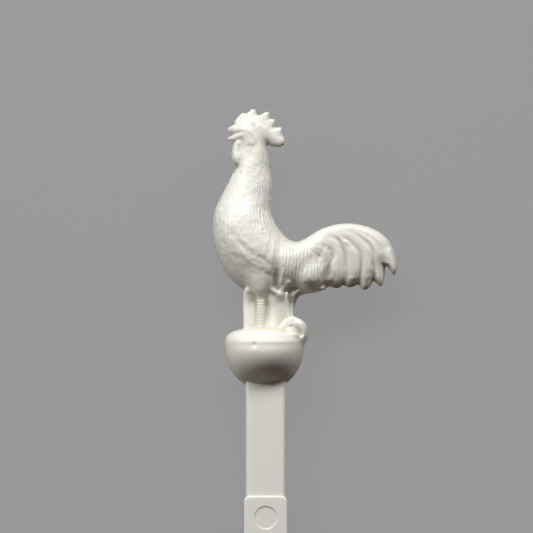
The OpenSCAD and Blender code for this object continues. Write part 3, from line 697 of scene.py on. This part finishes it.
def finish_tree(geometry):
    """Ends the tree at hand: its instances become real and take on the plastic."""
    real = tree.new("GeometryNodeRealizeInstances")
    join(geometry, real.inputs["Geometry"])
    dress = tree.new("GeometryNodeSetMaterial")
    join(real.outputs["Geometry"], dress.inputs["Geometry"])
    join(given.outputs["Plastic"], dress.inputs["Material"])
    join(dress.outputs["Geometry"], tree.new("NodeGroupOutput").inputs[0])


def made_plain(piece):
    """Turns the piece's modifiers into plain mesh."""
    plain = bpy.data.meshes.new_from_object(piece.evaluated_get(bpy.context.evaluated_depsgraph_get()))
    piece.modifiers.clear()
    piece.data = plain
    return plain


def worked_by(piece, group, group_inputs, values):
    """Runs a node tree on the piece with these values, and keeps the result as plain mesh."""
    tool = piece.modifiers.new(group.name, "NODES")
    tool.node_group = group
    for name, value in values:
        tool[group_inputs[name].identifier] = value
    return made_plain(piece)


given = tree.new("NodeGroupInput")
seed = sum_of("MULTIPLY", given.outputs["Seed"], 7.3)
over, down = carried("across"), carried("along")
sway = noise_at(sum_of("MULTIPLY", over, 0.6), sum_of("MULTIPLY", down, 0.7), seed)
bend = sum_of("MULTIPLY", sum_of("SUBTRACT", sway, 0.5), given.outputs["Strand waviness"])
bent = sum_of("ADD", over, bend)
crest = sum_of("COSINE", sum_of("MULTIPLY", bent, 2 * math.pi))
strand = sum_of("MULTIPLY", sum_of("ROUND", bent), 1.37)
breaks = noise_at(strand, sum_of("MULTIPLY", down, 0.9), sum_of("ADD", seed, 3.1))
span = tree.new("ShaderNodeMapRange")
span.inputs["From Min"].default_value = 0.4
span.inputs["From Max"].default_value = 0.6
join(breaks, span.inputs["Value"])
join(sum_of("SUBTRACT", 1.0, given.outputs["Broken strands"]), span.inputs["To Min"])
rise = sum_of("MULTIPLY", sum_of("MULTIPLY", crest, 0.5), span.outputs["Result"])
rise = sum_of("MULTIPLY", sum_of("MULTIPLY", rise, carried("cover")), given.outputs["Strand height"])
tooling = tree.new("ShaderNodeTexNoise")
tooling.inputs["Detail"].default_value = 3
join(given.outputs["Tooling scale"], tooling.inputs["Scale"])
join(tree.new("GeometryNodeInputPosition").outputs["Position"], tooling.inputs["Vector"])
worked_over = sum_of("MULTIPLY", sum_of("SUBTRACT", tooling.outputs["Fac"], 0.5), carried("tooled"))
rise = sum_of("ADD", rise, sum_of("MULTIPLY", worked_over, given.outputs["Tooling height"]))
push = tree.new("ShaderNodeVectorMath")
push.operation = "SCALE"
join(tree.new("GeometryNodeInputNormal").outputs["Normal"], push.inputs[0])
join(rise, push.inputs["Scale"])
move = tree.new("GeometryNodeSetPosition")
join(given.outputs["Moulding"], move.inputs["Geometry"])
join(push.outputs["Vector"], move.inputs["Offset"])
finish_tree(move.outputs["Geometry"])
feathered = worked_by(cockerel, feathering, feather_inputs,
                      (("Strand height", 0.12), ("Strand waviness", 1.3), ("Broken strands", 0.5),
                       ("Tooling height", 0.16), ("Tooling scale", 1.4), ("Seed", 7), ("Plastic", plastic)))
most_triangles = 184000
thinner = cockerel.modifiers.new("thinner", "DECIMATE")
thinner.ratio = min(1, most_triangles / sum(len(face.vertices) - 2 for face in feathered.polygons))
made_plain(cockerel)

# The rings of the scaly leg: one row of small rings up each shank, made by a node tree from their number,
# pitch, radius and thickness.
ringing = bpy.data.node_groups.new("leg rings", "GeometryNodeTree")
ringing.interface.new_socket("Shank", in_out="INPUT", socket_type="NodeSocketGeometry")
ring_inputs = inputs_of(ringing, (("Rings", "NodeSocketInt", 10),
                                  ("Pitch", "NodeSocketFloat", 0.4),
                                  ("Shank radius", "NodeSocketFloat", 0.4),
                                  ("Ring thickness", "NodeSocketFloat", 0.26),
                                  ("Lowest ring", "NodeSocketVector", (-0.61, 7, 1.75)),
                                  ("Plastic", "NodeSocketMaterial", None)))
ringing.interface.new_socket("Rings", in_out="OUTPUT", socket_type="NodeSocketGeometry")
tree = ringing.nodes
join = ringing.links.new
given = tree.new("NodeGroupInput")
pitch_step = tree.new("ShaderNodeCombineXYZ")
join(given.outputs["Pitch"], pitch_step.inputs["Y"])
shank = tree.new("GeometryNodeMeshLine")
join(given.outputs["Rings"], shank.inputs["Count"])
join(given.outputs["Lowest ring"], shank.inputs["Start Location"])
join(pitch_step.outputs[0], shank.inputs["Offset"])
hoop = tree.new("GeometryNodeCurvePrimitiveCircle")
hoop.inputs["Resolution"].default_value = 24
join(given.outputs["Shank radius"], hoop.inputs["Radius"])
bead = tree.new("GeometryNodeCurvePrimitiveCircle")
bead.inputs["Resolution"].default_value = 8
join(sum_of("MULTIPLY", given.outputs["Ring thickness"], 0.5), bead.inputs["Radius"])
ring = tree.new("GeometryNodeCurveToMesh")
join(hoop.outputs["Curve"], ring.inputs["Curve"])
join(bead.outputs["Curve"], ring.inputs["Profile Curve"])
upright = tree.new("GeometryNodeTransform")
upright.inputs["Rotation"].default_value = (math.pi / 2, 0, 0)
join(ring.outputs["Mesh"], upright.inputs["Geometry"])
row = tree.new("GeometryNodeInstanceOnPoints")
join(shank.outputs["Mesh"], row.inputs["Points"])
join(upright.outputs["Geometry"], row.inputs["Instance"])
finish_tree(row.outputs["Instances"])
leg_rings = []
for side in (1, -1):
    blank = in_scene("leg_rings", bpy.data.meshes.new("leg_rings"))
    worked_by(blank, ringing, ring_inputs,
              (("Rings", 11), ("Pitch", 0.39), ("Shank radius", 0.44), ("Ring thickness", 0.17),
               ("Lowest ring", (-0.61, 7.0, 1.96 * side)), ("Plastic", plastic)))
    leg_rings.append(blank)

# The stem: a flat bar with bevelled edges and a rounded tip, and the raised plaque on it with a shallow
# dish in each face. They are moulded in one with the cockerel, so all of the meshes are joined into one
# closed skin.
stem_l, stem_w, stem_t, stem_bevel = 117.6, 5.0, 2.2, 0.5


def bar(name, wide, thick, bevel, top, bottom, corner):
    """A flat bar with bevelled edges and rounded corners, as a closed mesh."""
    bevel_steps, corner_steps, least_reach = 4, 8, 0.02
    work = bmesh.new()
    levels = [(-thick / 2, bevel + 0.2)]
    for step in range(bevel_steps + 1):
        a = math.radians(90 - step * 90 / bevel_steps)
        levels.append((-thick / 2 + bevel * (1 - math.sin(a)), bevel * (1 - math.cos(a))))
    levels += [(-z, inset) for z, inset in levels[::-1]]
    rows = []
    for z, inset in levels:
        row = []
        for sx, sy, start in ((1, 1, 0), (-1, 1, 90), (-1, -1, 180), (1, -1, 270)):
            cx = sx * (wide / 2 - corner)
            cy = top - corner if sy > 0 else bottom + corner
            for i in range(corner_steps + 1):
                a = math.radians(start + i * 90 / corner_steps)
                reach = max(corner - inset, least_reach)
                row.append(work.verts.new((cx + reach * math.cos(a), cy + reach * math.sin(a), z)))
        rows.append(row)
    n = len(rows[0])
    for a, b in zip(rows, rows[1:]):
        for i in range(n):
            work.faces.new((a[i], a[(i + 1) % n], b[(i + 1) % n], b[i]))
    work.faces.new(rows[0][::-1])
    work.faces.new(rows[-1])
    # Three cuts across the bar, below the perch, keep the faces short there.
    for y in (-0.4, -1, -2.5):
        bmesh.ops.bisect_plane(work, geom=work.verts[:] + work.edges[:] + work.faces[:], plane_co=(0, y, 0),
                               plane_no=(0, 1, 0))
    bmesh.ops.recalc_face_normals(work, faces=work.faces)
    made = bpy.data.meshes.new(name)
    work.to_mesh(made)
    work.free()
    return in_scene(name, made)


stem = bar("stem", wide=stem_w, thick=stem_t, bevel=stem_bevel, top=rim * 0.5, bottom=-stem_l, corner=1.2)
plaque_top, plaque_l = -13.8, 70
plaque = bar("plaque", wide=5.4, thick=2.8, bevel=0.18, top=plaque_top, bottom=plaque_top - plaque_l,
             corner=0.7)
dish_middle = (0, -16.5, 1.43)
dishes = []
for side in (1, -1):
    work = bmesh.new()
    bmesh.ops.create_cone(work, cap_ends=True, segments=64, radius1=1.35, radius2=1.6, depth=0.3,
                          matrix=Matrix.Diagonal((1, 1, side, 1)) @ Matrix.Translation(dish_middle))
    bmesh.ops.recalc_face_normals(work, faces=work.faces)
    made = bpy.data.meshes.new("dish")
    work.to_mesh(made)
    work.free()
    dishes.append(in_scene("dish", made))
for part in [stem, plaque] + leg_rings + dishes:
    weld = cockerel.modifiers.new("weld", "BOOLEAN")
    weld.operation = "DIFFERENCE" if part in dishes else "UNION"
    weld.solver = "MANIFOLD"
    weld.object = part
joined = made_plain(cockerel)
joined.name = "stirrer_moulding"

# Slivers that the joining leaves loose are dropped: only the largest connected mesh stays.
ends = np.empty(len(joined.edges) * 2, np.int32)
joined.edges.foreach_get("vertices", ends)
ends = ends.reshape(-1, 2)
island = np.arange(len(joined.vertices))
before = None
while before is None or np.any(before != island):
    before = island.copy()
    lowest = np.minimum(island[ends[:, 0]], island[ends[:, 1]])
    np.minimum.at(island, ends[:, 0], lowest)
    np.minimum.at(island, ends[:, 1], lowest)
    island = island[island]
loose = bmesh.new()
loose.from_mesh(joined)
loose.verts.ensure_lookup_table()
main = np.bincount(island).argmax()
bmesh.ops.delete(loose, geom=[loose.verts[i] for i in np.flatnonzero(island != main)], context="VERTS")
loose.to_mesh(joined)
loose.free()
for spent in [stem, plaque] + leg_rings + dishes:
    bpy.data.objects.remove(spent)

# The moulding is laid as it comes to rest, on the perch's rim and the end of its tip, which tips it up a
# little. From here on it is in metres, in the frame's own place.
perch_t, bird_h, off_middle = 9.2, 28.9, 4.88
tip_run = stem_l - stem_bevel
pitch = math.atan((perch_t - stem_t) / 2 / (tip_run + rim))
rest = (Matrix.Scale(0.001, 4)
        @ Matrix.Translation((-off_middle, -(rim + bird_h - stem_l) / 2 * math.cos(pitch),
                              tip_run * math.sin(pitch) + stem_t / 2 * math.cos(pitch)))
        @ Matrix.Rotation(pitch, 4, "X"))
joined.transform(rest)
for polygon in joined.polygons:
    polygon.use_smooth = True
sharp_from = 40
joined.set_sharp_from_angle(angle=math.radians(sharp_from))
joined.materials.clear()
joined.materials.append(plastic)
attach(cockerel, "root")
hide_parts("stirrer")

# The table: a plain matt top. The camera sees an even grey with only a little of the stirrer's shade on it,
# and the table throws little light back up, so the underside of the perch stays dark.
shown_grey = (0.32, 0.32, 0.32, 1)
table_mesh = bpy.data.meshes.new("table_top")
table_mesh.from_pydata([(-2, -2, 0), (2, -2, 0), (2, 2, 0), (-2, 2, 0)], [], [(0, 1, 2, 3)])
table_top = in_scene("table_top", table_mesh)
paint = bpy.data.materials.new("table_paint")
paint.use_nodes = True
nodes = paint.node_tree.nodes
matt = nodes["Principled BSDF"]
matt.inputs["Base Color"].default_value = (0.4, 0.4, 0.4, 1)
matt.inputs["Roughness"].default_value = 0.9
matt.inputs["Specular IOR Level"].default_value = 0.1
even = nodes.new("ShaderNodeEmission")
even.inputs["Color"].default_value = shown_grey
dark = nodes.new("ShaderNodeBsdfDiffuse")
dark.inputs["Color"].default_value = (0.055, 0.028, 0.01, 1)
seen = nodes.new("ShaderNodeLightPath")
veil = nodes.new("ShaderNodeMixShader")
veil.inputs["Fac"].default_value = 0.88
choice = nodes.new("ShaderNodeMixShader")
link = paint.node_tree.links.new
link(matt.outputs["BSDF"], veil.inputs[1])
link(even.outputs["Emission"], veil.inputs[2])
seen_or_mirrored = nodes.new("ShaderNodeMath")
seen_or_mirrored.operation = "MAXIMUM"
seen_at_all = nodes.new("ShaderNodeMath")
seen_at_all.operation = "MAXIMUM"
link(seen.outputs["Is Camera Ray"], seen_or_mirrored.inputs[0])
link(seen.outputs["Is Glossy Ray"], seen_or_mirrored.inputs[1])
link(seen_or_mirrored.outputs[0], seen_at_all.inputs[0])
link(seen.outputs["Is Transmission Ray"], seen_at_all.inputs[1])
link(seen_at_all.outputs[0], choice.inputs["Fac"])
link(dark.outputs["BSDF"], choice.inputs[1])
link(veil.outputs["Shader"], choice.inputs[2])
link(choice.outputs["Shader"], nodes["Material Output"].inputs["Surface"])
table_mesh.materials.append(paint)

# The studio's light: a weak warm light from all round, a wide soft lamp beyond the head of the stick and a
# weak fill lamp over it. Past the table's edge the camera sees the same even grey.
world = bpy.data.worlds.new("studio")
bpy.context.scene.world = world
world.use_nodes = True
nodes = world.node_tree.nodes
nodes["Background"].inputs["Color"].default_value = (1, 0.6, 0.3, 1)
nodes["Background"].inputs["Strength"].default_value = 0.03
backdrop = nodes.new("ShaderNodeBackground")
backdrop.inputs["Color"].default_value = shown_grey
seen = nodes.new("ShaderNodeLightPath")
choice = nodes.new("ShaderNodeMixShader")
link = world.node_tree.links.new
link(seen.outputs["Is Camera Ray"], choice.inputs["Fac"])
link(nodes["Background"].outputs["Background"], choice.inputs[1])
link(backdrop.outputs["Background"], choice.inputs[2])
link(choice.outputs["Shader"], nodes["World Output"].inputs["Surface"])

bird_middle = Vector((0, 0.055, 0.005))


def lamp(name, wide, high, power, toward, distance):
    """A soft box lamp that shines at the cockerel from that side."""
    light = bpy.data.lights.new(name, "AREA")
    light.shape = "RECTANGLE"
    light.size = wide
    light.size_y = high
    light.energy = power
    made = in_scene(name, light)
    way = Vector(toward).normalized()
    made.location = bird_middle + way * distance
    made.rotation_mode = "QUATERNION"
    made.rotation_quaternion = way.to_track_quat("Z", "Y")


lamp("key lamp", wide=1.3, high=0.12, power=3.8, toward=(-0.15, 0.74, 0.67), distance=0.35)
lamp("fill lamp", wide=0.5, high=0.5, power=0.045, toward=(-0.1, 0.1, 1.0), distance=0.6)

# The camera looks square on to the stirrer's flat face. It takes in the cockerel, the perch, the top of the
# stem and the upper end of the plaque, and leaves the rest of the stick out.
camera = in_scene("camera", bpy.data.cameras.new("camera"))
bpy.context.scene.camera = camera
distance, view_width, sensor_width = 0.6, 0.0666, 36
view_middle = Vector((0.094, 14.81, 0))
aim = rest @ view_middle
outward = (rest.to_3x3() @ Vector((0, 0, 1))).normalized()
camera.location = aim + outward * distance
camera.rotation_mode = "QUATERNION"
camera.rotation_quaternion = (Matrix.Rotation(pitch, 3, "X")).to_quaternion()
camera.data.sensor_width = sensor_width
camera.data.lens = sensor_width * distance / view_width
camera.data.clip_start = 0.05
camera.data.clip_end = 10
bpy.context.scene.view_settings.view_transform = "Standard"
